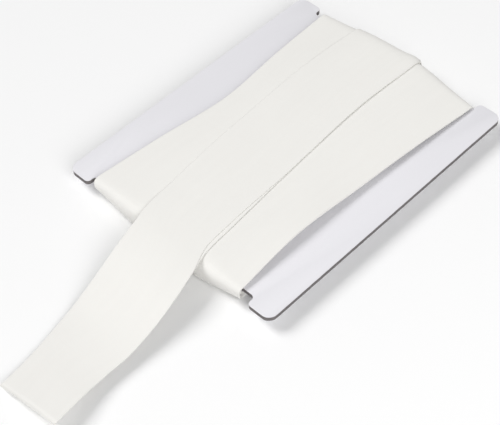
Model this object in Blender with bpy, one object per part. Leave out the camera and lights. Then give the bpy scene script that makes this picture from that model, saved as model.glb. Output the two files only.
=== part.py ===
"""Roll of folded bias tape, wound round the neck of a flat I-shaped card.

The roll lies flat on the surface. The card is level inside the winding, and the end of the
last turn hangs over one end of the winding and lies on the surface.

Units are metres and +Z is up. The origin is on the surface, under the middle of the card.
+X runs along the card's two flange bars, away from the loose end. +Y runs across them.
"""

import math
from collections.abc import Sequence
from typing import NamedTuple

import bmesh
import bpy
from mathutils import Vector

MM = 0.001
GAP = 0.3 * MM
MERGE_DISTANCE = 0.01 * MM
SMOOTH_ANGLE = math.radians(35)

# Card
CARD_LENGTH = 124.5 * MM
CARD_WIDTH = 100 * MM
CARD_THICKNESS = 2.2 * MM
CARD_BOTTOM = 4.6 * MM
CARD_TOP = CARD_BOTTOM + CARD_THICKNESS
FLANGE_WIDTH = 10.3 * MM
NOTCH_DEPTH = 3.85 * MM
NECK_END = CARD_LENGTH / 2 - NOTCH_DEPTH
LOBE_OUTER_RADIUS = 3.5 * MM
LOBE_INNER_RADIUS = 1.6 * MM
CORNER_STEPS = 5

# Winding: the rounding over each end of the neck is longer than it is high
ROUNDING_SHAPE = 1.25
ROUNDING_STEPS = 10

# The tunnel that the card's neck runs through
TUNNEL_END = NECK_END + GAP
TUNNEL_TOP = CARD_TOP + GAP
TUNNEL_BOTTOM = CARD_BOTTOM - GAP

# Where the last turn stops short and the loose end takes over, on a seat over the card
LAST_TURN_END = -50 * MM
LAST_TURN_STEP = 0.5 * MM
SEAT_HEIGHT = 4.1 * MM

# X of the points along each line of turns, in millimetres, in the order that they are joined
LINE_STATIONS = (-60, -30, 0, 30, 60)
TURN_TOP_STATIONS = (52, 42, 32, 22, 11, 0, -11, -22, -32, -42)
TURN_BOTTOM_STATIONS = (-45, -30, -15, 0, 15, 30, 45)

# Loose end
TAPE_THICKNESS = 1 * MM
LOOSE_STEPS_ALONG = 28
LOOSE_STEPS_ACROSS = 10


class TurnLine(NamedTuple):
    """One line of the winding that runs round the neck with the turns, in millimetres.

    low, low_quarter, middle, high_quarter, high: the line's Y at the five LINE_STATIONS
    crown: height over the card's top face at mid-span
    shoulder: the same height where the turns bend over the ends of the neck
    underside: height of the line over the surface, under the card
    reach_low, reach_high: how far the bend reaches past the origin, toward -X and +X
    last_turn: whether the line belongs to the turn that ends in the loose end
    """

    low: float
    low_quarter: float
    middle: float
    high_quarter: float
    high: float
    crown: float
    shoulder: float
    underside: float
    reach_low: float
    reach_high: float
    last_turn: bool = False


TURN_LINES = (
    # Left band of turns, from its outer edge inward
    TurnLine(37.0, 34.6, 31.6, 34.0, 35.8, 2.2, 1.7, 2.8, 60.8, 60.5),
    TurnLine(30.0, 29.0, 27.6, 29.0, 30.0, 2.9, 2.3, 2.2, 61.0, 60.9),
    TurnLine(29.2, 28.2, 26.8, 28.2, 29.2, 3.0, 2.4, 1.3, 62.0, 61.0),
    TurnLine(13.2, 16.8, 18.8, 20.3, 19.4, 4.2, 3.6, 0.0, 63.2, 61.2),
    # Last turn, laid over both bands
    TurnLine(12.4, 16.0, 18.0, 19.5, 18.6, 5.2, 4.7, 0.0, 63.3, 62.5, True),
    TurnLine(4.0, 8.0, 10.0, 11.5, 10.5, 5.4, 5.0, 0.0, 63.3, 63.2, True),
    TurnLine(-9.0, -5.5, -3.5, -2.0, -3.5, 5.4, 5.1, 0.0, 63.4, 63.9, True),
    TurnLine(-17.3, -13.6, -11.4, -9.9, -11.6, 5.2, 5.0, 0.0, 64.0, 64.8, True),
    # Right band of turns, out to its outer edge
    TurnLine(-18.1, -14.4, -12.2, -10.7, -12.4, 4.1, 3.7, 0.0, 64.1, 63.0),
    TurnLine(-25.6, -23.4, -23.0, -24.2, -27.6, 3.4, 2.8, 1.1, 64.6, 61.5),
    TurnLine(-26.4, -24.2, -23.8, -25.0, -28.4, 3.3, 2.7, 1.8, 64.3, 60.8),
    TurnLine(-36.2, -32.4, -33.8, -36.6, -38.6, 2.5, 1.6, 2.8, 61.3, 59.8),
)


class TapeRow(NamedTuple):
    """One cross-section of the loose end's upper face, in millimetres.

    arch: how far the middle stands over the straight line between the two edges
    """

    left_x: float
    left_y: float
    left_z: float
    right_x: float
    right_y: float
    right_z: float
    arch: float


LOOSE_ROWS = (
    TapeRow(-50.8, 13.7, 12.2, -50.8, -16.2, 12.2, 0.0),
    TapeRow(-58.0, 12.6, 12.1, -58.5, -17.4, 12.2, 0.0),
    TapeRow(-66.0, 10.7, 11.4, -67.5, -20.0, 11.7, 0.3),
    TapeRow(-76.0, 8.8, 9.4, -78.0, -22.4, 9.7, 0.6),
    TapeRow(-88.0, 7.0, 5.5, -90.0, -24.1, 6.9, 0.8),
    TapeRow(-100.0, 5.2, 2.3, -102.0, -25.0, 5.0, 1.0),
    TapeRow(-112.0, 3.0, 1.2, -113.5, -25.1, 4.9, 1.1),
    TapeRow(-124.0, 0.6, 1.1, -124.8, -26.5, 6.3, 1.1),
    TapeRow(-136.6, -1.0, 1.1, -135.7, -28.3, 7.6, 1.0),
)


class Finish(NamedTuple):
    """Colour and surface of one material."""

    colour: tuple[float, float, float]
    roughness: float


TAPE_CLOTH = Finish((0.87, 0.86, 0.80), 0.9)
WHITE_BOARD = Finish((0.80, 0.81, 0.83), 0.7)


def clear_scene() -> None:
    """Remove every object of the start-up scene."""
    for old in list(bpy.data.objects):
        bpy.data.objects.remove(old, do_unlink=True)


def add_object(name: str, bm: bmesh.types.BMesh, finish: Finish) -> bpy.types.Object:
    """Turn a bmesh into a named object with its own material."""
    bmesh.ops.recalc_face_normals(bm, faces=bm.faces)
    mesh = bpy.data.meshes.new(name)
    bm.to_mesh(mesh)
    bm.free()
    obj = bpy.data.objects.new(name, mesh)
    bpy.context.scene.collection.objects.link(obj)
    material = bpy.data.materials.new(name)
    material.use_nodes = True
    shader = material.node_tree.nodes["Principled BSDF"]
    shader.inputs["Base Color"].default_value = (*finish.colour, 1)
    shader.inputs["Roughness"].default_value = finish.roughness
    shader.inputs["Metallic"].default_value = 0
    mesh.materials.append(material)
    return obj


def smooth_between(stations: Sequence[float], values: Sequence[float], at: float) -> float:
    """Read a smooth curve through the values at the stations, held level past both ends."""
    at = min(max(at, stations[0]), stations[-1])
    index = 0
    while index < len(stations) - 2 and at > stations[index + 1]:
        index += 1
    before = max(index - 1, 0)
    after = min(index + 2, len(stations) - 1)
    span = stations[index + 1] - stations[index]
    start_slope = (values[index + 1] - values[before]) / (stations[index + 1] - stations[before])
    end_slope = (values[after] - values[index]) / (stations[after] - stations[index])
    t = (at - stations[index]) / span
    start_part = (2 * t**3 - 3 * t**2 + 1) * values[index] + (t**3 - 2 * t**2 + t) * span * start_slope
    end_part = (3 * t**2 - 2 * t**3) * values[index + 1] + (t**3 - t**2) * span * end_slope
    return start_part + end_part


# Card


def rounded_corner(before: Vector, corner: Vector, after: Vector, radius: float) -> list[Vector]:
    """Return the points of an arc that rounds one corner of an outline."""
    to_before = (before - corner).normalized()
    to_after = (after - corner).normalized()
    half_angle = to_before.angle(to_after) / 2
    centre = corner + (to_before + to_after).normalized() * radius / math.sin(half_angle)
    start = corner + to_before * radius / math.tan(half_angle) - centre
    end = corner + to_after * radius / math.tan(half_angle) - centre
    turns = [start.slerp(end, step / CORNER_STEPS) for step in range(CORNER_STEPS + 1)]
    return [centre + turn * radius for turn in turns]


def card_outline() -> list[Vector]:
    """Return the I-shaped outline of the card, with its corners rounded."""
    end = CARD_LENGTH / 2
    side = CARD_WIDTH / 2
    bar = side - FLANGE_WIDTH
    quarter = (
        (end, side, LOBE_OUTER_RADIUS),
        (end, bar, LOBE_INNER_RADIUS),
        (NECK_END, bar, LOBE_INNER_RADIUS),
    )
    corners = []
    for sign_x, sign_y, forward in ((1, 1, True), (1, -1, False), (-1, -1, True), (-1, 1, False)):
        rows = quarter if forward else reversed(quarter)
        corners += [(Vector((x * sign_x, y * sign_y, 0)), radius) for x, y, radius in rows]
    outline = []
    for index, (corner, radius) in enumerate(corners):
        before = corners[index - 1][0]
        after = corners[(index + 1) % len(corners)][0]
        outline += rounded_corner(before, corner, after, radius)
    return outline


def make_card() -> None:
    """Cut the flat card that the tape is wound on."""
    bm = bmesh.new()
    outline = [bm.verts.new(point + Vector((0, 0, CARD_BOTTOM))) for point in card_outline()]
    blank = bm.faces.new(outline)
    raised = bmesh.ops.extrude_face_region(bm, geom=[blank], use_keep_orig=True)
    top = [item for item in raised["geom"] if isinstance(item, bmesh.types.BMVert)]
    bmesh.ops.translate(bm, verts=top, vec=(0, 0, CARD_THICKNESS))
    add_object("card", bm, WHITE_BOARD)


# Winding


def line_y(line: TurnLine, x: float) -> float:
    """Return the Y of a turn line where it passes x."""
    values = [line.low, line.low_quarter, line.middle, line.high_quarter, line.high]
    return smooth_between(LINE_STATIONS, values, x / MM) * MM


def line_top(line: TurnLine, x: float) -> float:
    """Return the height of a turn line's upper side over the surface."""
    if line.last_turn and x < LAST_TURN_END:
        return CARD_TOP + SEAT_HEIGHT
    bend = min(abs(x) / NECK_END, 1) ** 2
    return CARD_TOP + (line.crown + (line.shoulder - line.crown) * bend) * MM


def rounding(line: TurnLine, side: int) -> list[tuple[float, float]]:
    """Return the X and Z of a turn line round one end, from its top to its underside."""
    reach = (line.reach_low if side < 0 else line.reach_high) * MM
    top = line_top(line, side * NECK_END)
    bottom = line.underside * MM
    half_height = (top - bottom) / 2
    length = half_height * ROUNDING_SHAPE
    points = []
    for step in range(ROUNDING_STEPS + 1):
        angle = math.pi * (0.5 - step / ROUNDING_STEPS)
        x = side * (reach - length + length * math.cos(angle))
        points.append((x, bottom + half_height + half_height * math.sin(angle)))
    return points


def outer_ring(line: TurnLine) -> list[Vector]:
    """Return one closed line round the winding: top, low end, underside, high end."""
    stations = [x * MM for x in TURN_TOP_STATIONS] + [LAST_TURN_END, LAST_TURN_END - LAST_TURN_STEP]
    ring = [(x, line_top(line, x)) for x in stations]
    ring += rounding(line, -1)
    ring += [(x * MM, line.underside * MM) for x in TURN_BOTTOM_STATIONS]
    ring += reversed(rounding(line, 1))
    return [Vector((x, line_y(line, x), z)) for x, z in ring]


def tunnel_point(point: Vector) -> Vector:
    """Return the point of the card's tunnel that lies inside a point of the outer ring."""
    x = min(max(point.x, -TUNNEL_END), TUNNEL_END)
    z = min(max(point.z, TUNNEL_BOTTOM), TUNNEL_TOP)
    return Vector((x, point.y, z))


def make_winding() -> None:
    """Model the wound turns as one solid round the card's neck."""
    bm = bmesh.new()
    rings = [[bm.verts.new(point) for point in outer_ring(line)] for line in TURN_LINES]
    inner_left = [bm.verts.new(tunnel_point(vert.co)) for vert in rings[0]]
    inner_right = [bm.verts.new(tunnel_point(vert.co)) for vert in rings[-1]]
    strips = [inner_left, *rings, inner_right, inner_left]
    for first, second in zip(strips, strips[1:]):
        for index in range(len(first)):
            bm.faces.new((first[index - 1], first[index], second[index], second[index - 1]))
    bmesh.ops.remove_doubles(bm, verts=inner_left + inner_right, dist=MERGE_DISTANCE)
    bmesh.ops.triangulate(bm, faces=bm.faces)
    winding = add_object("winding", bm, TAPE_CLOTH)
    winding.data.shade_smooth()
    winding.data.set_sharp_from_angle(angle=SMOOTH_ANGLE)


# Loose end


def make_loose_end() -> None:
    """Model the end of the last turn as a sheet that bends down to the surface."""
    bm = bmesh.new()
    stations = range(len(LOOSE_ROWS))
    columns = list(zip(*LOOSE_ROWS))
    grid = []
    for step in range(LOOSE_STEPS_ALONG + 1):
        at = step / LOOSE_STEPS_ALONG * stations[-1]
        row = TapeRow(*(smooth_between(stations, column, at) * MM for column in columns))
        left = Vector((row.left_x, row.left_y, row.left_z))
        right = Vector((row.right_x, row.right_y, row.right_z))
        verts = []
        for across in range(LOOSE_STEPS_ACROSS + 1):
            share = across / LOOSE_STEPS_ACROSS
            lift = Vector((0, 0, row.arch * math.sin(math.pi * share)))
            verts.append(bm.verts.new(left.lerp(right, share) + lift))
        grid.append(verts)
    for first, second in zip(grid, grid[1:]):
        for index in range(LOOSE_STEPS_ACROSS):
            bm.faces.new((first[index], second[index], second[index + 1], first[index + 1]))
    loose_end = add_object("loose_end", bm, TAPE_CLOTH)
    loose_end.data.shade_smooth()
    sheet = loose_end.modifiers.new("Thickness", "SOLIDIFY")
    sheet.thickness = TAPE_THICKNESS
    sheet.offset = -1


clear_scene()
make_card()
make_winding()
make_loose_end()
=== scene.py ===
"""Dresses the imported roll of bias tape: the white-faced board and the folded tape wound on it.

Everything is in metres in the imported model's frame: the surface is at z = 0, +X runs along the
board's two flange bars away from the loose end, and +Y runs across them. The tables of stations
are in millimetres, as a maker would read them off a drawing.
"""

import logging
import math
from collections.abc import Callable, Mapping, Sequence
from dataclasses import dataclass, field
from enum import Enum
from functools import cache, cached_property

import bmesh
import bpy
from mathutils import Matrix, Vector, noise


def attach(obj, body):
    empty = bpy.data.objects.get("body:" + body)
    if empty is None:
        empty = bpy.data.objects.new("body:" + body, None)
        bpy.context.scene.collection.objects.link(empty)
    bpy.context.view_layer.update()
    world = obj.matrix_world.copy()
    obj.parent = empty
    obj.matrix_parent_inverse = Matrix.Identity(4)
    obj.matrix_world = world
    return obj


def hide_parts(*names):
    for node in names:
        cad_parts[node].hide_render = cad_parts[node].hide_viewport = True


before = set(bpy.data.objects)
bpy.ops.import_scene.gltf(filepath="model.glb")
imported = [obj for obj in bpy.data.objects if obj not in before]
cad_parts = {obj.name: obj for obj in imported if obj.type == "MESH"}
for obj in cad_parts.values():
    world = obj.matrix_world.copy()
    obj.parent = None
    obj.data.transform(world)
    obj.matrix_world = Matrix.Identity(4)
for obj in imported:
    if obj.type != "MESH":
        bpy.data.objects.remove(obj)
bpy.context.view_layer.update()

LOG = logging.getLogger("bias_tape")
MM = 0.001
CLOTH_MAP = "cloth"

Socket = bpy.types.NodeSocket
Pair = tuple[float, float]
Triple = tuple[float, float, float]
Stations = tuple[float, float, float, float, float]
ClothRow = list[tuple[Vector, float]]


def smooth_between(stations: Sequence[float], values: Sequence[float], at: float) -> float:
    """Read a smooth curve through the values at the stations, held level past both ends.

    Args:
        stations: Where the values are given, rising.
        values: One value for each station.
        at: Where to read the curve.

    Returns:
        The curve's value there.
    """
    at = min(max(at, stations[0]), stations[-1])
    index = 0
    while index < len(stations) - 2 and at > stations[index + 1]:
        index += 1
    before = max(index - 1, 0)
    after = min(index + 2, len(stations) - 1)
    span = stations[index + 1] - stations[index]
    start_slope = (values[index + 1] - values[before]) / (stations[index + 1] - stations[before])
    end_slope = (values[after] - values[index]) / (stations[after] - stations[index])
    t = (at - stations[index]) / span
    start_part = (2 * t**3 - 3 * t**2 + 1) * values[index] + (t**3 - 2 * t**2 + t) * span * start_slope
    end_part = (3 * t**2 - 2 * t**3) * values[index + 1] + (t**3 - t**2) * span * end_slope
    return start_part + end_part


def ease(share: float) -> float:
    """Turn a share from 0 to 1 into one that starts and ends gently."""
    share = min(max(share, 0.0), 1.0)
    return share * share * (3 - 2 * share)


def rising(at: float, start: float, stop: float) -> float:
    """Return 0 before the start and 1 past the stop, with a gentle rise between them."""
    return ease((at - start) / (stop - start))


def linked_object(name: str, content: bpy.types.ID) -> bpy.types.Object:
    """Make an object of a mesh, a lamp or a camera, and link it to the scene."""
    made = bpy.data.objects.new(name, content)
    bpy.context.scene.collection.objects.link(made)
    return made


def finished_object(
    name: str, bm: bmesh.types.BMesh, finishes: Sequence[bpy.types.Material]
) -> bpy.types.Object:
    """Make a bmesh an object at the origin, with its materials.

    Args:
        name: The piece's name.
        bm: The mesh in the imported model's frame, which is used up.
        finishes: The materials in the order of the faces' material numbers.

    Returns:
        The new object, linked to the scene.
    """
    mesh = bpy.data.meshes.new(name)
    bm.to_mesh(mesh)
    bm.free()
    for finish in finishes:
        mesh.materials.append(finish)
    return linked_object(name, mesh)


# Node groups and finishes


@dataclass
class NodeBuilder:
    """Adds nodes to one tree and feeds their inputs.

    Attributes:
        tree: The node tree.
    """

    tree: bpy.types.NodeTree

    def fill(self, node: bpy.types.Node, inputs: Mapping[str | int, object]) -> None:
        """Feed a node's inputs: a socket is linked, a plain value is set and None is passed over.

        Args:
            node: The node.
            inputs: What goes in, by the input's name or number.
        """
        for key, value in inputs.items():
            if isinstance(value, bpy.types.NodeSocket):
                self.tree.links.new(value, node.inputs[key])
            elif value is not None:
                node.inputs[key].default_value = value

    def add(
        self, kind: str, inputs: Mapping[str | int, object] | None = None, **settings: object
    ) -> bpy.types.Node:
        """Add a node, set its properties and feed its inputs.

        Args:
            kind: The node's type.
            inputs: What goes in, by the input's name or number.
            settings: Property names and values.

        Returns:
            The new node.
        """
        node = self.tree.nodes.new(kind)
        for name, value in settings.items():
            setattr(node, name, value)
        self.fill(node, inputs or {})
        return node

    def surface(self, inputs: Mapping[str, object]) -> None:
        """Feed the material's Principled shader, by the names of its inputs."""
        self.fill(self.tree.nodes["Principled BSDF"], inputs)

    def maths(self, operation: str, first: object, second: object = None) -> Socket:
        """Add a Math node.

        Args:
            operation: The node's operation.
            first: A socket or a number.
            second: A socket, a number or nothing.

        Returns:
            The node's output.
        """
        return self.add("ShaderNodeMath", {0: first, 1: second}, operation=operation).outputs[0]

    def noise(self, place: Socket, scale: object, detail: float, roughness: float = 0.5) -> Socket:
        """Add a noise texture.

        Args:
            place: The coordinates.
            scale: Blotches to a metre, as a socket or a number.
            detail: How many finer layers are added.
            roughness: How strongly the finer layers show.

        Returns:
            The noise, from 0 to 1.
        """
        inputs = {"Vector": place, "Scale": scale, "Detail": detail, "Roughness": roughness}
        return self.add("ShaderNodeTexNoise", inputs).outputs["Fac"]

    def stretched(self, place: Socket, scale: Triple) -> Socket:
        """Scale coordinates by axis with a Mapping node."""
        return self.add("ShaderNodeMapping", {"Vector": place, "Scale": scale}).outputs["Vector"]

    def tinted(self, colour: Triple, tone: Socket) -> Socket:
        """Scale a colour by a tone."""
        return self.add("ShaderNodeVectorMath", {0: colour, "Scale": tone}, operation="SCALE").outputs[0]

    def bump(
        self, height: Socket, distance: float, strength: float, normal: Socket | None = None
    ) -> Socket:
        """Add a relief.

        Args:
            height: The relief, from 0 to 1.
            distance: What its full height stands for, in metres.
            strength: How strongly it shows.
            normal: The relief under this one, if there is one.

        Returns:
            The surface's new normal.
        """
        inputs = {"Height": height, "Distance": distance, "Strength": strength, "Normal": normal}
        return self.add("ShaderNodeBump", inputs).outputs["Normal"]


def plain_material(name: str) -> tuple[bpy.types.Material, NodeBuilder]:
    """Make a material with a Principled shader, and the builder for its nodes."""
    made = bpy.data.materials.new(name)
    made.use_nodes = True
    return made, NodeBuilder(made.node_tree)


class Effect(Enum):
    """The shader node groups that materials share."""

    BIAS_WEAVE = "bias weave"
    SOFT_MOTTLE = "soft mottle"
    PAPER_FIBRE = "paper fibre"


@dataclass
class EffectShop:
    """Builds each shared node group once and places it in materials.

    Attributes:
        slubs: Thick places in the weave's threads to a metre, and their finer layers.
        roundness: Share of the weave's height that the round threads make.
        crossing: Share that they make by crossing over and under each other.
        mottle_grain: Finer layers of the soft mottle and how strongly they show.
        fibre_grain: The same of the paper fibre.
        made: The groups built so far.
    """

    slubs: Pair = (260.0, 2.0)
    roundness: float = 0.7
    crossing: float = 0.5
    mottle_grain: Pair = (3.0, 0.5)
    fibre_grain: Pair = (5.0, 0.7)
    made: dict[Effect, bpy.types.NodeTree] = field(default_factory=dict)

    def place(self, nodes: NodeBuilder, effect: Effect, **inputs: object) -> bpy.types.NodeOutputs:
        """Put a group node in a material.

        Args:
            nodes: The material's node builder.
            effect: Which group.
            inputs: What goes into the group, by the input's name.

        Returns:
            The group's outputs.
        """
        if effect not in self.made:
            self.made[effect] = self.build(effect)
        return nodes.add("ShaderNodeGroup", inputs, node_tree=self.made[effect]).outputs

    def build(self, effect: Effect) -> bpy.types.NodeTree:
        """Build one group.

        Args:
            effect: Which group.

        Returns:
            The group's tree, which gives a shade that is about 1 and a height.
        """
        tree = bpy.data.node_groups.new(effect.value, "ShaderNodeTree")
        tree.interface.new_socket("Place", in_out="INPUT", socket_type="NodeSocketVector")
        for name in ("Threads", "Slub") if effect is Effect.BIAS_WEAVE else ("Scale", "Strength"):
            tree.interface.new_socket(name, in_out="INPUT", socket_type="NodeSocketFloat")
        for name in ("Shade", "Height"):
            tree.interface.new_socket(name, in_out="OUTPUT", socket_type="NodeSocketFloat")
        nodes = NodeBuilder(tree)
        given = nodes.add("NodeGroupInput").outputs
        if effect is Effect.BIAS_WEAVE:
            shade, height = self.weave(nodes, given)
        else:
            grain = self.mottle_grain if effect is Effect.SOFT_MOTTLE else self.fibre_grain
            shade, height = self.cloud(nodes, given, *grain)
        nodes.add("NodeGroupOutput", {"Shade": shade, "Height": height})
        return tree

    def weave(self, nodes: NodeBuilder, given: bpy.types.NodeOutputs) -> tuple[Socket, Socket]:
        """Plain weave whose threads run at 45 degrees to the tape, with painted shade between the threads.

        Args:
            nodes: The group's node builder.
            given: The group's inputs: Place, Threads to a metre, and Slub, how far a thick place
                pushes the threads aside.

        Returns:
            Shade, which is 1 on the threads and falls between them as painted shade, and height.
        """
        apart = nodes.add("ShaderNodeSeparateXYZ", {0: given["Place"]}).outputs
        aside = nodes.maths("MULTIPLY", nodes.noise(given["Place"], *self.slubs), given["Slub"])
        angle = nodes.maths("MULTIPLY", given["Threads"], math.pi / math.sqrt(2))
        threads = []
        for sign in ("ADD", "SUBTRACT"):
            run = nodes.maths("MULTIPLY", nodes.maths(sign, apart["X"], apart["Y"]), angle)
            threads.append(nodes.maths(sign, run, aside))
        warp, weft = threads
        warp_round = nodes.maths("ABSOLUTE", nodes.maths("SINE", warp))
        weft_round = nodes.maths("ABSOLUTE", nodes.maths("SINE", weft))
        over = nodes.maths("MULTIPLY", nodes.maths("COSINE", warp), nodes.maths("COSINE", weft))
        lean = nodes.maths("ADD", nodes.maths("MULTIPLY", over, 0.25), 0.5)
        body = nodes.maths("MULTIPLY", nodes.maths("ADD", warp_round, weft_round), 0.5)
        body = nodes.maths("MULTIPLY", body, self.roundness)
        height = nodes.maths("ADD", body, nodes.maths("MULTIPLY", lean, self.crossing))
        # The first output is painted shade in the gaps between threads; the second is their relief.
        return nodes.maths("POWER", nodes.maths("MAXIMUM", warp_round, weft_round), 0.5), height

    def cloud(
        self, nodes: NodeBuilder, given: bpy.types.NodeOutputs, detail: float, roughness: float
    ) -> tuple[Socket, Socket]:
        """Cloudy unevenness: slow blotches, or fibres and specks where it is fine and rough.

        Args:
            nodes: The group's node builder.
            given: The group's inputs: Place, Scale in blotches to a metre, and Strength.
            detail: How many finer layers are added.
            roughness: How strongly they show.

        Returns:
            Shade, about 1, and height.
        """
        blotches = nodes.noise(given["Place"], given["Scale"], detail, roughness)
        centred = nodes.maths("SUBTRACT", blotches, 0.5)
        return nodes.maths("ADD", nodes.maths("MULTIPLY", centred, given["Strength"]), 1.0), blotches


@dataclass(frozen=True)
class TapeCloth:
    """Matt ivory plain-weave cotton, cut on the bias and pressed.

    Attributes:
        colour: The cloth's own colour.
        roughness: Mean roughness.
        specular: How strongly it mirrors.
        sheen: Soft light at grazing angles.
        sheen_roughness: How widely that light spreads.
        threads: Threads to a metre in each direction.
        slub: How far a thick place pushes the threads aside.
        gap_shade_and_thread_tones: Tone of the painted shade in the gaps between threads, and the threads'
            own tone.
        clouds: Slow blotches to a metre.
        cloud_strength: How much they show in the colour.
        streaks: Soft pressing ridges to a metre across and along the tape, shown in relief and as painted
            shade.
        ridge_shade_strength: How much painted shade of the ridges they put in the colour.
        weave_relief: Height of the weave in metres, and how strongly it shows.
        streak_relief: The same of the pressing streaks.
    """

    colour: Triple = (0.876, 0.864, 0.831)
    roughness: float = 0.88
    specular: float = 0.25
    sheen: float = 0.12
    sheen_roughness: float = 0.6
    threads: float = 2600.0
    slub: float = 1.4
    gap_shade_and_thread_tones: Pair = (0.9, 1.004)
    clouds: float = 38.0
    cloud_strength: float = 0.035
    streaks: Pair = (420.0, 22.0)
    ridge_shade_strength: float = 0.03
    weave_relief: Pair = (0.04 * MM, 0.7)
    streak_relief: Pair = (0.12 * MM, 0.5)

    def material(self, shop: EffectShop) -> bpy.types.Material:
        """Build the cloth's material on the tape's own UV map, in metres.

        Args:
            shop: Where the shared groups come from.

        Returns:
            The material.
        """
        made, nodes = plain_material("ivory_bias_cotton")
        place = nodes.add("ShaderNodeUVMap", uv_map=CLOTH_MAP).outputs["UV"]
        solid = nodes.add("ShaderNodeTexCoord").outputs["Object"]
        streaky = nodes.stretched(place, (*self.streaks, 1.0))
        weave = shop.place(nodes, Effect.BIAS_WEAVE, Place=place, Threads=self.threads, Slub=self.slub)
        cloud = shop.place(
            nodes, Effect.SOFT_MOTTLE, Place=solid, Scale=self.clouds, Strength=self.cloud_strength
        )
        streak = shop.place(
            nodes, Effect.SOFT_MOTTLE, Place=streaky, Scale=1.0, Strength=self.ridge_shade_strength
        )
        # The gaps between threads get painted shade in the colour; the threads keep their own tone.
        gap_shade, thread = self.gap_shade_and_thread_tones
        tone = nodes.add("ShaderNodeMapRange", {"Value": weave["Shade"], "To Min": gap_shade, "To Max": thread})
        tone = nodes.maths("MULTIPLY", tone.outputs[0], cloud["Shade"])
        # Painted shade of the soft ridges, in bands along the tape; their real relief is the bump below.
        tone = nodes.maths("MULTIPLY", tone, streak["Shade"])
        relief = nodes.bump(weave["Height"], *self.weave_relief)
        nodes.surface({
            "Base Color": nodes.tinted(self.colour, tone),
            "Roughness": nodes.maths("MULTIPLY", cloud["Shade"], self.roughness),
            "Specular IOR Level": self.specular,
            "Sheen Weight": self.sheen,
            "Sheen Roughness": self.sheen_roughness,
            "Normal": nodes.bump(streak["Height"], *self.streak_relief, relief),
        })
        return made


@dataclass(frozen=True)
class BoardFinish:
    """One finish of the die-cut board.

    Attributes:
        name: The material's name.
        colour: Its own colour.
        roughness: Mean roughness.
        fibres: Fibres to a metre.
        fibre_strength: How much the fibres show in the colour.
        mottle_strength: How much slow cloudiness shows in it.
        stretch: How the fibre pattern is scaled by axis.
        relief: Height of the fibres in metres.
        relief_strength: How strongly it shows.
        clouds: Slow blotches to a metre.
        specular: How strongly it mirrors.
    """

    name: str
    colour: Triple
    roughness: float
    fibres: float
    fibre_strength: float
    mottle_strength: float
    stretch: Triple
    relief: float
    relief_strength: float = 0.6
    clouds: float = 30.0
    specular: float = 0.12

    def material(self, shop: EffectShop) -> bpy.types.Material:
        """Build the finish's material on Object coordinates.

        Args:
            shop: Where the shared groups come from.

        Returns:
            The material.
        """
        made, nodes = plain_material(self.name)
        solid = nodes.add("ShaderNodeTexCoord").outputs["Object"]
        pulp = nodes.stretched(solid, self.stretch)
        fibre = shop.place(
            nodes, Effect.PAPER_FIBRE, Place=pulp, Scale=self.fibres, Strength=self.fibre_strength
        )
        cloud = shop.place(
            nodes, Effect.SOFT_MOTTLE, Place=solid, Scale=self.clouds, Strength=self.mottle_strength
        )
        tone = nodes.maths("MULTIPLY", fibre["Shade"], cloud["Shade"])
        nodes.surface({
            "Base Color": nodes.tinted(self.colour, tone),
            "Roughness": nodes.maths("MULTIPLY", fibre["Shade"], self.roughness),
            "Specular IOR Level": self.specular,
            "Normal": nodes.bump(fibre["Height"], self.relief, self.relief_strength),
        })
        return made


WHITE_FACE = BoardFinish(
    "white_paper_face", colour=(0.806, 0.799, 0.831), roughness=0.8, fibres=900.0,
    fibre_strength=0.03, mottle_strength=0.03, stretch=(1.0, 1.0, 1.0), relief=0.02 * MM,
)
GREY_CORE = BoardFinish(
    "grey_fibre_core", colour=(0.185, 0.172, 0.172), roughness=0.95, fibres=1500.0,
    fibre_strength=0.9, mottle_strength=0.25, stretch=(0.35, 0.35, 1.6), relief=0.15 * MM,
)


# Board


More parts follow.
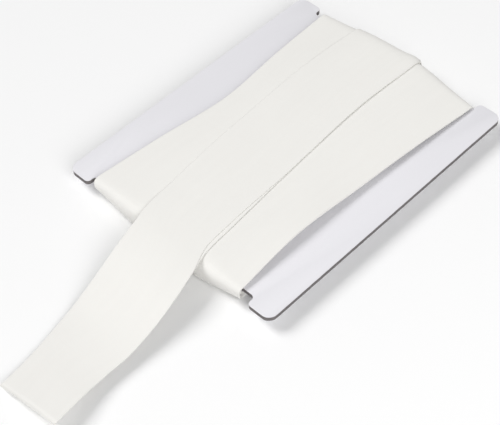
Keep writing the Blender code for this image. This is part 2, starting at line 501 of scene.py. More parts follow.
@dataclass
class Board:
    """The flat I-shaped board that the tape is wound on, white on both faces with a grey core.

    Attributes:
        length: Along the flange bars.
        width: Across them.
        thickness: Of the board.
        underside: Height of its lower face over the surface.
        flange: Width of each flange bar.
        notch: How far the neck stops short of the bars' ends.
        outer_radius: Rounding of a bar's outer corner.
        inner_radius: Rounding of a bar's inner corner and of the notch.
        liner: Thickness of the white paper on each face.
        rim: Width of the soft edge between a face and the cut side.
        plain_side: Longest straight side whose cut is left even.
        wear_step: Distance between points on the longer sides.
        wear: Depth of the fine and the slow unevenness of the cut.
        wear_waves: Waves of each to a metre.
        corner_steps: Steps round an outer and an inner corner.
    """

    length: float = 124.5 * MM
    width: float = 100 * MM
    thickness: float = 2.2 * MM
    underside: float = 4.6 * MM
    flange: float = 10.3 * MM
    notch: float = 3.85 * MM
    outer_radius: float = 3.5 * MM
    inner_radius: float = 1.6 * MM
    liner: float = 0.22 * MM
    rim: float = 0.12 * MM
    plain_side: float = 6 * MM
    wear_step: float = 1.6 * MM
    wear: Pair = (0.11 * MM, 0.08 * MM)
    wear_waves: Pair = (420.0, 60.0)
    corner_steps: tuple[int, int] = (9, 6)

    @property
    def top(self) -> float:
        """Height of the board's upper face."""
        return self.underside + self.thickness

    @property
    def neck_end(self) -> float:
        """How far the neck reaches along X from the middle."""
        return self.length / 2 - self.notch

    def corners(self) -> list[tuple[float, float, bool]]:
        """List the twelve corners of the outline.

        Returns:
            X, Y and whether it is one of the four outer corners, in order round the board.
        """
        end, side = self.length / 2, self.width / 2
        bar = side - self.flange
        quarter = [(end, side, True), (end, bar, False), (self.neck_end, bar, False)]
        listed = []
        for sign_x, sign_y, forward in ((1, 1, True), (1, -1, False), (-1, -1, True), (-1, 1, False)):
            rows = quarter if forward else quarter[::-1]
            listed += [(x * sign_x, y * sign_y, outer) for x, y, outer in rows]
        return listed

    def blank(self) -> bmesh.types.BMesh:
        """Cut the flat blank with its corners rounded.

        Returns:
            A bmesh with one face at the board's lower side.
        """
        bm = bmesh.new()
        corners = self.corners()
        verts = [bm.verts.new((x, y, self.underside)) for x, y, _ in corners]
        bm.faces.new(verts)
        outer = [vert for vert, row in zip(verts, corners) if row[2]]
        inner = [vert for vert, row in zip(verts, corners) if not row[2]]
        radii = (self.outer_radius, self.inner_radius)
        for group, radius, steps in zip((outer, inner), radii, self.corner_steps):
            bmesh.ops.bevel(
                bm, geom=group, offset=radius, offset_type="OFFSET", affect="VERTICES",
                segments=steps, profile=0.5, material=-1,
            )
        return bm

    def worn(self, bm: bmesh.types.BMesh) -> None:
        """Give the outline of the blank the slight unevenness of a die cut, always inward."""
        for edge in [edge for edge in bm.edges if edge.calc_length() > self.plain_side]:
            bmesh.ops.subdivide_edges(bm, edges=[edge], cuts=int(edge.calc_length() / self.wear_step))
        for vert in bm.verts:
            x, y, _ = vert.co
            fine = noise.noise(Vector((x, y, 0.3)) * self.wear_waves[0]) * self.wear[0]
            slow = noise.noise(Vector((y, x, 1.7)) * self.wear_waves[1]) * self.wear[1]
            outward = Vector((math.copysign(1, x), math.copysign(1, y), 0)).normalized()
            vert.co -= outward * (abs(fine) + abs(slow))

    def thickened(self, bm: bmesh.types.BMesh) -> None:
        """Raise the blank to its thickness, the liners and the core as layers of their own."""
        lower = list(bm.faces)[0]
        lower.normal_update()
        if lower.normal.z > 0:
            lower.normal_flip()
        layers = (self.liner, self.thickness - 2 * self.liner, self.liner)
        base = [lower]
        for index, rise in enumerate(layers):
            raised = bmesh.ops.extrude_face_region(bm, geom=base, use_keep_orig=index == 0)
            top = [item for item in raised["geom"] if isinstance(item, bmesh.types.BMVert)]
            base = [item for item in raised["geom"] if isinstance(item, bmesh.types.BMFace)]
            bmesh.ops.translate(bm, verts=top, vec=(0, 0, rise))
        bmesh.ops.recalc_face_normals(bm, faces=bm.faces)
        middle = self.underside + self.thickness / 2
        core = self.thickness / 2 - self.liner
        for face in bm.faces:
            face.smooth = abs(face.normal.z) < 0.5
            face.material_index = int(face.smooth and abs(face.calc_center_median().z - middle) < core)
        rims = [edge for edge in bm.edges if edge.calc_face_angle(0) > math.radians(60)]
        bmesh.ops.bevel(
            bm, geom=rims, offset=self.rim, offset_type="OFFSET", affect="EDGES",
            segments=2, profile=0.5, material=-1,
        )

    def build(self, shop: EffectShop) -> bpy.types.Object:
        """Make the board and fit it to the frame.

        Args:
            shop: Where the shared node groups come from.

        Returns:
            The board's object.
        """
        bm = self.blank()
        self.worn(bm)
        self.thickened(bm)
        piece = finished_object("board", bm, (WHITE_FACE.material(shop), GREY_CORE.material(shop)))
        piece.data.set_sharp_from_angle(angle=math.radians(50))
        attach(piece, "root")
        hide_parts("card")
        return piece


# Tape


class Leg(Enum):
    """The stretches that the tape goes through, turn by turn, and its loose end."""

    TOP = "top"
    LOW_END = "low end"
    UNDERSIDE = "underside"
    HIGH_END = "high end"
    LOOSE = "loose"


@dataclass(frozen=True)
class SkinLine:
    """One line of the winding's outer form that runs round the neck, in millimetres.

    Attributes:
        y: The line's Y at the five LINE_STATIONS.
        height: Height over the board there.
        reach_high: How far the bend reaches toward +X.
        reach_low: How far it reaches toward -X. The last turn has no bend there.
        underside: Height over the surface under the board, where the last turn has no part.
    """

    y: Stations
    height: Stations
    reach_high: float
    reach_low: float = 0.0
    underside: float = 0.0


@dataclass(frozen=True)
class Turn:
    """Where one turn lies on top of the board, in millimetres.

    Attributes:
        left: Y of its centre fold at the five LINE_STATIONS.
        right: Y of its open side there.
        proud: How far its inner half stands out past the outer half at the open side.
    """

    left: Stations
    right: Stations
    proud: float


@dataclass(frozen=True)
class TapeRow:
    """One cross-section of the loose end's upper face, in millimetres.

    Attributes:
        left: X, Y and Z of the centre fold.
        right: X, Y and Z of the open side.
        arch: How far the middle stands over the straight line between them.
        curl: How far the centre fold's side turns up.
    """

    left: Triple
    right: Triple
    arch: float
    curl: float


@dataclass(frozen=True)
class Ring:
    """One row of the tape.

    Attributes:
        leg: The stretch it is in.
        turn: The turn it belongs to.
        share: How far along the stretch it is, from 0 to 1.
    """

    leg: Leg
    turn: int
    share: float


LINE_STATIONS = (-60, -30, 0, 30, 60)
BEND_STATION = 57.5

# The form of the two bands, from the left band's outer side to the right band's
BAND_SKIN = (
    SkinLine((38.1, 35.0, 31.6, 34.0, 35.8), (1.7, 2.1, 2.2, 2.1, 1.7), 60.5, 61.1, 2.8),
    SkinLine((29.6, 28.6, 27.2, 28.6, 29.6), (2.35, 2.8, 2.95, 2.8, 2.35), 60.95, 61.5, 1.75),
    SkinLine((13.2, 16.8, 18.8, 20.3, 19.4), (3.9, 4.4, 4.5, 4.4, 4.0), 61.2, 62.9),
    SkinLine((-18.1, -14.4, -12.2, -10.7, -12.4), (4.3, 4.45, 4.5, 4.4, 4.05), 62.6, 63.8),
    SkinLine((-26.0, -23.8, -23.4, -24.6, -28.0), (2.9, 3.95, 3.7, 3.4, 2.6), 60.5, 62.6, 1.45),
    SkinLine((-35.0, -33.8, -35.0, -36.8, -39.2), (1.5, 3.85, 2.6, 2.0, 0.95), 59.3, 61.1, 2.8),
)
# The form of the last turn on top of them, from its centre fold to its open side
LAST_SKIN = (
    SkinLine((12.4, 16.0, 18.0, 19.5, 18.6), (4.15, 4.55, 4.65, 4.57, 4.35), 62.2),
    SkinLine((4.0, 8.0, 10.0, 11.5, 10.5), (5.0, 5.3, 5.4, 5.3, 5.0), 62.8),
    SkinLine((-9.0, -6.5, -4.2, -2.5, -3.2), (5.1, 5.35, 5.4, 5.35, 5.05), 63.4),
    SkinLine((-15.4, -12.7, -10.2, -8.5, -9.3), (4.85, 5.1, 5.13, 5.1, 4.78), 64.5),
    SkinLine((-17.3, -14.6, -12.1, -10.4, -11.2), (4.75, 5.0, 5.0, 5.0, 4.5), 63.4),
)
# The turns in the order of winding: three in the left band, three in the right and the last
TURNS = (
    Turn(BAND_SKIN[1].y, (-0.2, -1.2, -2.6, -1.2, -0.2), 0.5),
    Turn((36.0, 33.8, 30.8, 33.2, 35.0), (6.2, 4.0, 1.0, 3.4, 5.2), 0.3),
    Turn(BAND_SKIN[0].y, (8.3, 5.2, 1.8, 4.2, 6.0), 0.6),
    Turn((6.0, 6.4, 6.2, 5.4, 4.2), (-23.8, -23.4, -23.6, -24.4, -25.6), 0.6),
    Turn((-4.9, 0.8, 0.0, -3.0, -8.0), (-34.6, -29.0, -29.8, -32.8, -37.8), -0.3),
    Turn((-5.2, -3.9, -5.1, -6.9, -9.3), BAND_SKIN[5].y, -0.5),
    Turn(LAST_SKIN[0].y, LAST_SKIN[4].y, 0.0),
)
LAST = len(TURNS) - 1
# The loose end from the winding to its cut
LOOSE_ROWS = (
    TapeRow((-57.1, 13.1, 11.3), (-57.8, -17.1, 11.7), 0.4, 0.0),
    TapeRow((-65.8, 10.9, 10.95), (-67.3, -19.8, 11.35), 0.4, 0.0),
    TapeRow((-76.0, 8.8, 9.4), (-78.0, -22.4, 9.7), 0.6, 0.0),
    TapeRow((-88.0, 7.0, 5.5), (-90.0, -24.1, 6.9), 0.8, 0.0),
    TapeRow((-100.0, 5.2, 2.3), (-102.0, -25.0, 5.0), 1.0, 0.0),
    TapeRow((-112.0, 3.0, 1.2), (-113.5, -25.1, 4.9), 1.1, 0.1),
    TapeRow((-124.0, 0.6, 1.1), (-124.8, -26.5, 6.3), 1.1, 0.35),
    TapeRow((-136.6, -1.0, 1.1), (-135.7, -28.3, 7.6), 1.0, 0.7),
)


@dataclass
class FoldedSection:
    """The double fold of the tape: four plies, with the centre fold on the left.

    Attributes:
        ply: Thickness of one ply.
        pitch: Distance from one ply to the next.
        ply_steps: Places across a ply, as shares, close together beside the folds.
        fold_steps: Steps round a fold.
        raw_edges: How far the outer and inner halves' turned-in edges stop short of the centre fold.
    """

    ply: float = 0.135 * MM
    pitch: float = 0.235 * MM
    ply_steps: tuple[float, ...] = (0.0, 0.014, 0.05, 0.13, 0.27, 0.42, 0.58, 0.73, 0.87, 0.95, 0.986, 1.0)
    fold_steps: int = 4
    raw_edges: Pair = (1.7 * MM, 2.21 * MM)

    @property
    def stack(self) -> float:
        """Thickness of the four plies together."""
        return 3 * self.pitch + self.ply

    @property
    def columns(self) -> int:
        """How many steps the section has from one raw edge to the other."""
        return 4 * (len(self.ply_steps) - 1) + 3 * self.fold_steps

    def fold(self, middle: Pair, radius: float, start: float, turn: float) -> list[Pair]:
        """List the points round a fold, without its first.

        Args:
            middle: Across and depth of the fold's middle.
            radius: Of the fold.
            start: Angle of its first point, from across, toward deeper.
            turn: Angle that it goes round.

        Returns:
            Across and depth of each point.
        """
        points = []
        for step in range(1, self.fold_steps + 1):
            angle = start + turn * step / self.fold_steps
            points.append((middle[0] + radius * math.cos(angle), middle[1] + radius * math.sin(angle)))
        return points

    def points(self, outer: float, inner: float) -> list[Pair]:
        """Lay out the section from the outer half's raw edge to the inner half's.

        Args:
            outer: Width of the outer half.
            inner: Width of the inner half.

        Returns:
            Distance from the centre fold and depth under the outer face, for each point.
        """
        depth = [self.ply / 2 + index * self.pitch for index in range(4)]
        side = self.pitch / 2
        centre = 1.5 * self.pitch
        outer_side, inner_side = outer - side, inner - side
        outer_raw, inner_raw = self.raw_edges

        def ply(start: float, stop: float, level: int) -> list[Pair]:
            """List the points across one ply."""
            return [(start + (stop - start) * share, depth[level]) for share in self.ply_steps]

        path = ply(outer_raw, outer_side, 1)
        path += self.fold((outer_side, depth[0] + side), side, math.pi / 2, -math.pi)
        path += ply(outer_side, centre, 0)[1:]
        path += self.fold((centre, depth[0] + centre), centre, -math.pi / 2, -math.pi)
        path += ply(centre, inner_side, 3)[1:]
        path += self.fold((inner_side, depth[3] - side), side, math.pi / 2, -math.pi)
        return path + ply(inner_side, inner_raw, 2)[1:]


@dataclass(frozen=True)
class Bend:
    """A turn's bend over one end of the neck, at one place across.

    Attributes:
        side: -1 for the low end and 1 for the high end.
        middle: X at which it begins.
        length: How far it reaches past that.
        high: Height of its top.
        low: Height of its bottom.
        room: The room for the tape's thickness.
    """

    side: int
    middle: float
    length: float
    high: float
    low: float
    room: float

    def point(self, share: float, y: float, squareness: float) -> Vector:
        """Find a point of the bend's outer face.

        Args:
            share: How far round it is, the way the tape is wound.
            y: Where across.
            squareness: Power of the bend's curve.

        Returns:
            The point.
        """
        angle = math.pi * (0.5 - share) * -self.side
        rise = math.copysign(abs(math.sin(angle)) ** squareness, math.sin(angle))
        out = max(math.cos(angle), 0.0) ** squareness
        z = (self.high + self.low) / 2 + (self.high - self.low) / 2 * rise
        return Vector((self.middle + self.side * self.length * out, y, z))


@dataclass(frozen=True)
class Waver:
    """One layer of the cloth's soft unevenness.

    Attributes:
        across: Waves across the tape's width.
        along: Waves to a metre along it.
        by_turn: How far the pattern shifts from one turn to the next.
        shift: Where the pattern starts across, and at the first turn.
        strength: Share of the height that it adds.
    """

    across: float
    along: float
    by_turn: float
    shift: Pair
    strength: float

    def height(self, turn: int, along: float, across: float) -> float:
        """Return the layer's height at one place."""
        start, first = self.shift
        place = (across * self.across + start, along * self.along, turn * self.by_turn + first)
        return self.strength * noise.noise(Vector(place))


@dataclass(frozen=True)
class Pressing:
    """How flat the last turn is pressed, in shares of the tape's full thickness.

    Attributes:
        middle: What its middle keeps.
        fold_less: How much less the centre fold keeps.
        fold_zone: Share of the width over which that fades out.
        side_less: How much less the open side keeps.
        side_zone: Shares of the width between which that comes in.
        loose: What the loose end keeps.
        top_run: Share of the last turn's top over which it comes down from full thickness.
        loose_run: Share of the loose end over which it evens out.
    """

    middle: float = 0.85
    fold_less: float = 0.6
    fold_zone: float = 0.25
    side_less: float = 0.35
    side_zone: Pair = (0.75, 0.95)
    loose: float = 0.55
    top_run: float = 0.1
    loose_run: float = 0.2

    def share(self, ring: Ring, across: float) -> float:
        """Tell how much of its thickness the tape keeps where there is room for all of it.

        Args:
            ring: The row.
            across: Share of the width from the centre fold.

        Returns:
            The share, which is 1 on the turns of the two bands.
        """
        if ring.turn < LAST:
            return 1.0
        flat = self.middle - self.fold_less * (1 - ease(across / self.fold_zone))
        flat -= self.side_less * rising(across, *self.side_zone)
        if ring.leg is Leg.LOOSE:
            return flat + (self.loose - flat) * ease(ring.share / self.loose_run)
        return 1 + (flat - 1) * ease(ring.share / self.top_run)


@dataclass(frozen=True)
class CutEnd:
    """The cut across the loose end: a little uneven, with the inner half slightly longer.

    Attributes:
        longer: How much longer the inner half is.
        inner_half: Shares of the section between which it takes over from the outer half.
        fine: Height of the fine unevenness, its waves to a metre and where its pattern is read.
        slow: The same of the slow unevenness.
    """

    longer: float = 0.12 * MM
    inner_half: Pair = (0.45, 0.55)
    fine: Triple = (0.22 * MM, 700.0, 2.5)
    slow: Triple = (0.35 * MM, 90.0, 8.5)

    def trim(self, rows: list[ClothRow]) -> None:
        """Move the points of the tape's last row.

        Args:
            rows: The tape's rows.
        """
        last, before = rows[-1], rows[-2]
        for index, (point, run) in enumerate(last):
            onward = (point - before[index][0]).normalized()
            out = self.longer * rising(index / len(last), *self.inner_half)
            for height, waves, place in (self.fine, self.slow):
                out += height * noise.noise(Vector((run * waves, place, 0.0)))
            last[index] = (point + onward * out, run)


@dataclass(eq=False)
class WoundTape:
    """One strip of double-fold tape: six turns round the neck, then the last turn and its loose end.

    Attributes:
        board: The board that it is wound on.
        section: The tape's fold.
        pressing: How flat its last turn is.
        cut: Its cut end.
        stations: Steps across on which the outer face is worked out.
        top_rows: Rows along the top of a turn.
        end_rows: Rows round an end of the neck.
        under_rows: Rows along the underside.
        loose_rows: Rows along the loose end.
        rounding: How much longer than high a bend is.
        squareness: Power of the bend's curve: 1 is an ellipse and less is squarer.
        start: X at which the tape begins, under the turns of the left band.
        last_stop: X at which the last turn leaves the winding.
        lead_in: How far before that the loose end's curve takes up the winding's own form.
        fade: How far beside a turn it still props up the turns over it.
        slant_ease: How gently a turn's slant starts and ends on the underside, from 0 to 1.
        half_width: Half of the folded tape, which keeps its width where it runs slanted.
        plenty: Room for the tape where nothing lies under it.
        room_needed: Room that the tape's thickness needs, as a share of it.
        least_share: The thinnest that the tape is squeezed, as a share of its thickness.
        wavers: Layers of the cloth's unevenness.
        waver_base: Share of the unevenness that lifts the whole face.
        band_waver: Height of the unevenness on the turns of the two bands.
        last_waver: The same on the last turn.
        loose_waver: The same on the loose end.
        loose_waver_run: Share of the loose end over which its unevenness comes in.
        bare: Share of the winding's height past which a turn's face counts as uncovered.
        curl_zone: Share of the width over which the centre fold turns up.
        peep: How far the last turn's inner half stands out at its side, over the low end.
        peep_top: X between which it comes out on top of the winding.
        peep_loose: Shares of the loose end between which it goes back.
    """

    board: Board
    section: FoldedSection = field(default_factory=FoldedSection)
    pressing: Pressing = field(default_factory=Pressing)
    cut: CutEnd = field(default_factory=CutEnd)
    stations: int = 24
    top_rows: int = 38
    end_rows: int = 12
    under_rows: int = 30
    loose_rows: int = 56
    rounding: float = 1.08
    squareness: float = 0.72
    start: float = 40 * MM
    last_stop: float = -44 * MM
    lead_in: float = 12 * MM
    fade: float = 3.4 * MM
    slant_ease: float = 0.4
    half_width: float = 15 * MM
    plenty: float = 2 * MM
    room_needed: float = 1.05
    least_share: float = 0.5
    wavers: tuple[Waver, ...] = (
        Waver(across=3.1, along=9.0, by_turn=7.3, shift=(0.0, 0.0), strength=0.6),
        Waver(across=1.3, along=3.0, by_turn=3.9, shift=(4.0, 11.0), strength=0.7),
    )
    waver_base: float = 0.6
    band_waver: float = 0.09 * MM
    last_waver: float = 0.10 * MM
    loose_waver: float = 0.16 * MM
    loose_waver_run: float = 5 / 14
    bare: float = 0.98
    curl_zone: float = 0.13
    peep: float = 1.4 * MM
    peep_top: Pair = (-10 * MM, -46 * MM)
    peep_loose: Pair = (0.10, 0.24)

    # Where the turns lie

    def rings(self) -> list[Ring]:
        """List the rows of the whole tape, from its hidden start to the cut end.

        Returns:
            The rows in order.
        """
        counts = {
            Leg.TOP: self.top_rows,
            Leg.LOW_END: self.end_rows,
            Leg.UNDERSIDE: self.under_rows,
            Leg.HIGH_END: self.end_rows,
        }
        legs = [(leg, turn) for turn in range(LAST) for leg in counts] + [(Leg.TOP, LAST)]
        rows = [Ring(leg, turn, step / counts[leg]) for leg, turn in legs for step in range(counts[leg])]
        return rows + [Ring(Leg.LOOSE, LAST, step / self.loose_rows) for step in range(self.loose_rows + 1)]

    def nominal_x(self, ring: Ring) -> float:
        """Return the X at which a row's Y values are read."""
        straight = BEND_STATION * MM
        if ring.leg is Leg.TOP:
            first = self.start if ring.turn == 0 else straight
            final = self.last_stop if ring.turn == LAST else -straight
            return first + (final - first) * ring.share
        if ring.leg is Leg.UNDERSIDE:
            return straight * (2 * ring.share - 1)
        return -straight if ring.leg is Leg.LOW_END else straight

    def footprint(self, leg: Leg, turn: int, x: float) -> Pair:
        """Find the two sides of a turn at X.

        Args:
            leg: The stretch. The high end belongs to the turn that comes up over it.
            turn: The turn's number.
            x: Where.

        Returns:
            Y of the centre fold and of the open side.
        """
        if leg is Leg.UNDERSIDE:
            return self.under_footprint(turn, x)
        if leg is Leg.TOP:
            at = x / MM
        elif leg is Leg.LOW_END:
            at = -BEND_STATION
        else:
            at, turn = BEND_STATION, turn + 1
        lies = TURNS[turn]
        left, right = (smooth_between(LINE_STATIONS, line, at) for line in (lies.left, lies.right))
        return left * MM, right * MM

    def under_footprint(self, turn: int, x: float) -> Pair:
        """Find the two sides of a turn under the board, where it crosses to the next turn's place.

        Args:
            turn: The turn's number.
            x: Where.

        Returns:
            Y of the centre fold and of the open side.
        """
        share = (x / MM / BEND_STATION + 1) / 2
        share += self.slant_ease * (ease(share) - share)
        from_left, from_right = self.footprint(Leg.LOW_END, turn, x)
        to_left, to_right = self.footprint(Leg.HIGH_END, turn, x)
        slope = (to_left - from_left) / (2 * BEND_STATION * MM)
        spread = self.half_width * (math.hypot(1, slope) - 1) * math.sin(math.pi * share)
        left = from_left + (to_left - from_left) * share
        right = from_right + (to_right - from_right) * share
        return left + spread, right - spread

    def cover(self, leg: Leg, turn: int, x: float, y: float) -> float:
        """Tell how much a turn lies over a place: 1 on it, falling to 0 within a few millimetres outside.

        Args:
            leg: The stretch.
            turn: The turn's number.
            x: Where along the neck.
            y: Where across.

        Returns:
            The share.
        """
        left, right = self.footprint(leg, turn, x)
        outside = max(y - left, right - y, 0.0)
        if leg is Leg.TOP and turn == 0:
            outside = max(outside, x - self.start)
        return 1 - ease(outside / self.fade)

    def shares(self, leg: Leg, turn: int, x: float, y: float, count: int = LAST) -> Pair:
        """Share out the winding's height among its turns at one place.

        Args:
            leg: The stretch.
            turn: The turn's number.
            x: Where along the neck.
            y: Where across.
            count: How many turns share the height. The last turn never does.

        Returns:
            The shares of the height at which the turn's inner and outer faces lie.
        """
        below = sum(self.cover(leg, other, x, y) for other in range(turn))
        above = sum(self.cover(leg, other, x, y) for other in range(turn + 1, count))
        return below / (below + 1 + above), (below + 1) / (below + 1 + above)

    # The outer face of a turn

    def across_skin(self, last: bool, x: float, y: float, value: Callable[[SkinLine], float]) -> float:
        """Read one measure of the skin between its lines.

        Args:
            last: Whether it is the last turn's skin.
            x: Where along the neck.
            y: Where across.
            value: What to read from a line.

        Returns:
            The measure there.
        """
        lines = (LAST_SKIN if last else BAND_SKIN)[::-1]
        places = [smooth_between(LINE_STATIONS, line.y, x / MM) * MM for line in lines]
        return smooth_between(places, [value(line) for line in lines], y)

    def top_height(self, last: bool, x: float, y: float) -> float:
        """Return the height over the board of the skin's top at one place."""
        return self.across_skin(
            last, x, y, lambda line: smooth_between(LINE_STATIONS, line.height, x / MM) * MM
        )

    def under_depth(self, x: float, y: float) -> float:
        """Return the depth under the board of the skin's underside at one place."""
        underside = self.board.underside
        return min(self.across_skin(False, x, y, lambda line: underside - line.underside * MM), underside)

    def end_reach(self, last: bool, side: int, y: float) -> float:
        """Return how far past the neck's end the skin bends at one place."""
        return self.across_skin(
            last, side * BEND_STATION * MM, y,
            lambda line: (line.reach_low if side < 0 else line.reach_high) * MM - self.board.neck_end,
        )

    def bend(self, turn: int, side: int, y: float) -> Bend:
        """Work out a turn's bend over one end of the neck.

        Args:
            turn: The turn whose underside meets this bend.
            side: -1 for the low end and 1 for the high end.
            y: Where across.

        Returns:
            The bend.
        """
        leg = Leg.LOW_END if side < 0 else Leg.HIGH_END
        x = side * BEND_STATION * MM
        bottom_floor, bottom_face = self.shares(leg, turn, x, y)
        depth = self.under_depth(x, y)
        low = self.board.underside - depth * bottom_face
        if side > 0 and turn == LAST - 1:
            high = self.board.top + self.top_height(True, self.board.neck_end, y)
            reach = self.end_reach(True, side, y)
            room = self.plenty
        else:
            floor, face = self.shares(leg, turn, x, y, LAST - 1 if side > 0 else LAST)
            skin = self.top_height(False, side * self.board.neck_end, y)
            high = self.board.top + skin * face
            reach = self.end_reach(False, side, y) * face
            room = skin * (face - floor)
        room = min(room, depth * (bottom_face - bottom_floor))
        length = (high - low) / 2 * self.rounding
        return Bend(side, side * (self.board.neck_end + reach - length), length, high, low, room)

    @cache
    def bend_middle(self, turn: int, side: int, across: float) -> float:
        """Return the X at which a turn's bend begins at a share of the tape's width."""
        left, right = self.footprint(Leg.LOW_END if side < 0 else Leg.HIGH_END, turn, 0)
        return self.bend(turn, side, left + (right - left) * across).middle

    def waver(self, turn: int, along: float, across: float, height: float) -> float:
        """Return the soft unevenness of a turn's outer face, which mostly lifts it."""
        return height * (self.waver_base + sum(layer.height(turn, along, across) for layer in self.wavers))

    def face_point(self, ring: Ring, across: float) -> tuple[Vector, float]:
        """Find a point of the tape's outer face and the room under it.

        Args:
            ring: The row.
            across: Share of the width from the centre fold.

        Returns:
            The point and the room for the tape's thickness.
        """
        if ring.leg is Leg.LOOSE:
            return self.loose_point(ring.share, across), self.plenty
        left, right = self.footprint(ring.leg, ring.turn, self.nominal_x(ring))
        y = left + (right - left) * across
        if ring.leg is Leg.TOP:
            return self.top_point(ring, across, y)
        if ring.leg is Leg.UNDERSIDE:
            return self.under_point(ring, across, y)
        bend = self.bend(ring.turn, -1 if ring.leg is Leg.LOW_END else 1, y)
        return bend.point(ring.share, y, self.squareness), bend.room

    def top_point(self, ring: Ring, across: float, y: float) -> tuple[Vector, float]:
        """Find a point on top of the board, as face_point does.

        Args:
            ring: The row.
            across: Share of the width from the centre fold.
            y: Where across the board.

        Returns:
            The point and the room for the tape's thickness.
        """
        x = self.nominal_x(ring)
        calm = math.sin(math.pi * ring.share)
        first = self.start if ring.turn == 0 else self.bend_middle(ring.turn - 1, 1, across)
        if ring.turn == LAST:
            final = self.last_stop
            height = self.top_height(True, x, y) + self.waver(LAST, x, across, self.last_waver) * calm
            room = self.plenty
        else:
            final = self.bend_middle(ring.turn, -1, across)
            floor, face = self.shares(Leg.TOP, ring.turn, x, y)
            skin = self.top_height(False, x, y)
            height = skin * face
            if face > self.bare:
                height += self.waver(ring.turn, x, across, self.band_waver) * calm
            room = skin * (face - floor)
        return Vector((first + (final - first) * ring.share, y, self.board.top + height)), room

    def under_point(self, ring: Ring, across: float, y: float) -> tuple[Vector, float]:
        """Find a point under the board, as face_point does.

        Args:
            ring: The row.
            across: Share of the width from the centre fold.
            y: Where across the board.

        Returns:
            The point and the room for the tape's thickness.
        """
        x = self.nominal_x(ring)
        first, final = (self.bend_middle(ring.turn, side, across) for side in (-1, 1))
        floor, face = self.shares(Leg.UNDERSIDE, ring.turn, x, y)
        depth = self.under_depth(x, y)
        point = Vector((first + (final - first) * ring.share, y, self.board.underside - depth * face))
        return point, depth * (face - floor)

    @cached_property
    def loose_sections(self) -> list[TapeRow]:
        """The loose end's cross-sections, led in by two of the last turn's own."""
        rows = []
        for place in (self.last_stop + self.lead_in, self.last_stop):
            left, right = self.footprint(Leg.TOP, LAST, place)
            heights = [
                (self.board.top + self.top_height(True, place, y)) / MM
                for y in (left, (left + right) / 2, right)
            ]
            arch = heights[1] - (heights[0] + heights[2]) / 2
            sides = [(place / MM, y / MM, z) for y, z in ((left, heights[0]), (right, heights[2]))]
            rows.append(TapeRow(sides[0], sides[1], arch, 0.0))
        return rows + list(LOOSE_ROWS)

    def loose_point(self, share: float, across: float) -> Vector:
        """Find a point of the loose end's upper face.

        Args:
            share: How far along the loose end.
            across: Share of the width from the centre fold.

        Returns:
            The point.
        """
        rows = self.loose_sections
        stations = [0.0]
        for before, after in zip(rows, rows[1:]):
            stations.append(stations[-1] + (Vector(after.left) - Vector(before.left)).length)
        at = stations[1] + (stations[-1] - stations[1]) * share
        left, right = (
            Vector([smooth_between(stations, values, at) for values in zip(*sides)])
            for sides in ([row.left for row in rows], [row.right for row in rows])
        )
        arch = smooth_between(stations, [row.arch for row in rows], at)
        curl = smooth_between(stations, [row.curl for row in rows], at)
        point = left.lerp(right, across)
        point.z += arch * math.sin(math.pi * across) + curl * (1 - ease(across / self.curl_zone))
        point *= MM
        calm = math.sin(math.pi / 2 * min(share / self.loose_waver_run, 1.0))
        calm *= math.sqrt(max(math.sin(math.pi * across), 0.0))
        point.z += self.waver(LAST, point.x, across, self.loose_waver) * calm
        return point

    # The cloth itself

    def proud(self, ring: Ring) -> float:
        """Return how far the inner half stands out past the outer half in a row."""
        own = TURNS[ring.turn].proud * MM
        if ring.turn < LAST:
            return own
        if ring.leg is Leg.LOOSE:
            shown = 1 - rising(ring.share, *self.peep_loose)
        else:
            shown = rising(self.nominal_x(ring), *self.peep_top)
        return own + (self.peep - own) * shown

    def outer_face(self, rings: Sequence[Ring]) -> tuple[list[list[Vector]], list[list[float]]]:
        """Work out the tape's outer face.

        Args:
            rings: The tape's rows.

        Returns:
            A grid of points, and the share of the tape's thickness that it keeps at each.
        """
        grid, squeezes = [], []
        needed = self.section.stack * self.room_needed
        for ring in rings:
            row, squeeze = [], []
            for station in range(self.stations + 1):
                across = station / self.stations
                point, room = self.face_point(ring, across)
                row.append(point)
                squeeze.append(min(self.pressing.share(ring, across), max(room / needed, self.least_share)))
            grid.append(row)
            squeezes.append(squeeze)
        return grid, squeezes

    def outward(self, grid: list[list[Vector]], row: int, station: int) -> Vector:
        """Return the direction square to the outer face at one of its points."""
        along = grid[min(row + 1, len(grid) - 1)][station] - grid[max(row - 1, 0)][station]
        across = grid[row][min(station + 1, self.stations)] - grid[row][max(station - 1, 0)]
        return along.cross(across).normalized()

    def cloth_row(
        self, ring: Ring, face: list[Vector], square: list[Vector], squeeze: list[float]
    ) -> ClothRow:
        """Lay the fold of the tape under one row of its outer face.

        Args:
            ring: The row.
            face: The outer face's points.
            square: The outward directions there.
            squeeze: The share of its thickness that the tape keeps there.

        Returns:
            Each point of the section, with its distance along the cloth from the outer half's raw edge.
        """
        width = (face[-1] - face[0]).length
        placed, run, before = [], 0.0, None
        for distance, depth in self.section.points(width - self.proud(ring), width):
            at = min(max(distance / width, 0.0), 1.0) * self.stations
            index = min(int(at), self.stations - 1)
            part = at - index
            point = face[index].lerp(face[index + 1], part)
            out = square[index].lerp(square[index + 1], part).normalized()
            thin = squeeze[index] + (squeeze[index + 1] - squeeze[index]) * part
            if before is not None:
                run += math.dist(before, (distance, depth))
            before = (distance, depth)
            placed.append((point - out * depth * thin, run))
        return placed

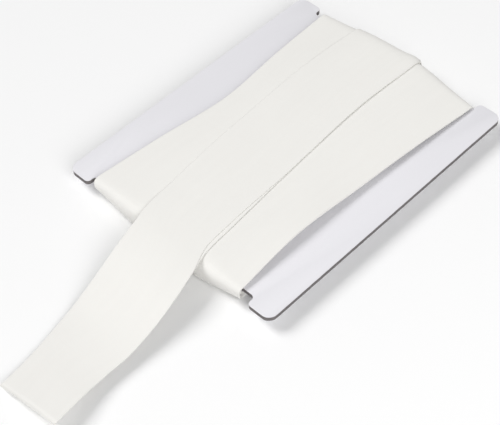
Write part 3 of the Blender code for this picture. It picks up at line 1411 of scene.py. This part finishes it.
    def mesh(self, rows: list[ClothRow], lengths: list[float]) -> bmesh.types.BMesh:
        """Join the rows into one sheet with its UV map in metres of flat cloth.

        Args:
            rows: The tape's rows.
            lengths: Distance of each row from the tape's start.

        Returns:
            The sheet's bmesh.
        """
        columns = self.section.columns
        bm = bmesh.new()
        bmesh.ops.create_grid(bm, x_segments=columns, y_segments=len(rows) - 1, size=0.5)
        bm.verts.ensure_lookup_table()
        weave_map = bm.loops.layers.uv.new(CLOTH_MAP)
        for vert in bm.verts:
            row, column = divmod(vert.index, columns + 1)
            vert.co = rows[row][column][0]
            for loop in vert.link_loops:
                loop[weave_map].uv = (rows[row][column][1], lengths[row])
        for face in bm.faces:
            face.smooth = True
        return bm

    def build(self, shop: EffectShop, board_piece: bpy.types.Object) -> bpy.types.Object:
        """Make the tape and fit it to the frame.

        Args:
            shop: Where the shared node groups come from.
            board_piece: The board's object. Not used.

        Returns:
            The tape's object.
        """
        rings = self.rings()
        grid, squeezes = self.outer_face(rings)
        rows = []
        for number, ring in enumerate(rings):
            square = [self.outward(grid, number, station) for station in range(self.stations + 1)]
            rows.append(self.cloth_row(ring, grid[number], square, squeezes[number]))
        self.cut.trim(rows)
        middle = self.stations // 2
        lengths = [0.0]
        for first, second in zip(grid, grid[1:]):
            lengths.append(lengths[-1] + (second[middle] - first[middle]).length)
        piece = finished_object("wound_tape", self.mesh(rows, lengths), (TapeCloth().material(shop),))
        thickness = piece.modifiers.new("Cloth", "SOLIDIFY")
        thickness.thickness = self.section.ply
        thickness.offset = 0
        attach(piece, "root")
        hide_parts("winding", "loose_end")
        return piece


# Studio


@dataclass(frozen=True)
class SoftLight:
    """One soft lamp over the surface.

    Attributes:
        name: Of the lamp.
        place: Where it hangs.
        size: Of its face.
        power: In watts.
    """

    name: str
    place: Triple
    size: float
    power: float

    def build(self) -> None:
        """Hang the lamp, facing the roll."""
        lamp = bpy.data.lights.new(self.name, "AREA")
        lamp.shape = "SQUARE"
        lamp.size = self.size
        lamp.energy = self.power
        holder = linked_object(self.name, lamp)
        holder.location = self.place
        holder.rotation_euler = (-Vector(self.place)).to_track_quat("-Z", "Y").to_euler()


@dataclass
class Studio:
    """The pale floor, the soft light and the camera at the photograph's angle.

    Attributes:
        eye: The camera's place.
        to_right: The camera's right-hand direction.
        up: Its upward direction.
        onward: The direction that it looks in.
        lens: Focal length in millimetres.
        sensor: Width of the frame behind it in millimetres.
        nearest: Distance from which the camera sees things.
        floor_reach: How far the floor goes each way from the middle.
        floor_colour: Of the floor.
        floor_roughness: Of the floor.
        floor_specular: How strongly the floor mirrors.
        sky_strength: Of the even light from all round.
        lights: The lamps.
    """

    eye: Triple = (-0.23853, -0.22903, 0.36082)
    to_right: Triple = (0.69481606, -0.71832799, -0.03515024)
    up: Triple = (0.56603794, 0.51605252, 0.64287701)
    onward: Triple = (0.44365718, 0.46657764, -0.76516247)
    lens: float = 95.507
    sensor: float = 36.0
    nearest: float = 0.01
    floor_reach: float = 3.0
    floor_colour: Triple = (0.96, 0.96, 0.96)
    floor_roughness: float = 0.8
    floor_specular: float = 0.2
    sky_strength: float = 0.31
    lights: tuple[SoftLight, ...] = (
        SoftLight("key_light", (-1.62, 3.47, 4.62), 3.0, 212.0),
        SoftLight("fill_light", (-0.38, -0.9, 0.69), 0.8, 7.13),
    )

    def camera(self) -> None:
        """Place the camera and make it the scene's."""
        lens = bpy.data.cameras.new("photo_camera")
        lens.lens = self.lens
        lens.sensor_width = self.sensor
        lens.clip_start = self.nearest
        holder = linked_object("photo_camera", lens)
        columns = [Vector(self.to_right), Vector(self.up), -Vector(self.onward)]
        turned = Matrix(columns).transposed().to_4x4()
        holder.matrix_world = Matrix.Translation(self.eye) @ turned
        bpy.context.scene.camera = holder

    def floor(self) -> None:
        """Lay the plain pale floor."""
        bm = bmesh.new()
        bmesh.ops.create_grid(bm, x_segments=2, y_segments=2, size=self.floor_reach)
        made, nodes = plain_material("pale_floor")
        nodes.surface({
            "Base Color": (*self.floor_colour, 1),
            "Roughness": self.floor_roughness,
            "Specular IOR Level": self.floor_specular,
        })
        finished_object("floor", bm, (made,))

    def build(self) -> None:
        """Set up the camera, the floor and the light."""
        self.camera()
        self.floor()
        world = bpy.data.worlds.new("soft_room")
        bpy.context.scene.world = world
        world.use_nodes = True
        sky = world.node_tree.nodes["Background"]
        sky.inputs["Color"].default_value = (1.0, 1.0, 1.0, 1)
        sky.inputs["Strength"].default_value = self.sky_strength
        for light in self.lights:
            light.build()
        bpy.context.scene.view_settings.view_transform = "Standard"


def main() -> None:
    """Build the studio, the board and the tape, and report each piece."""
    logging.basicConfig(level=logging.INFO, format="%(message)s")
    Studio().build()
    shop = EffectShop()
    board = Board()
    board_piece = board.build(shop)
    LOG.info("%s: %d faces", board_piece.name, len(board_piece.data.polygons))
    tape_piece = WoundTape(board).build(shop, board_piece)
    LOG.info("%s: %d faces", tape_piece.name, len(tape_piece.data.polygons))


if __name__ == "__main__":
    main()
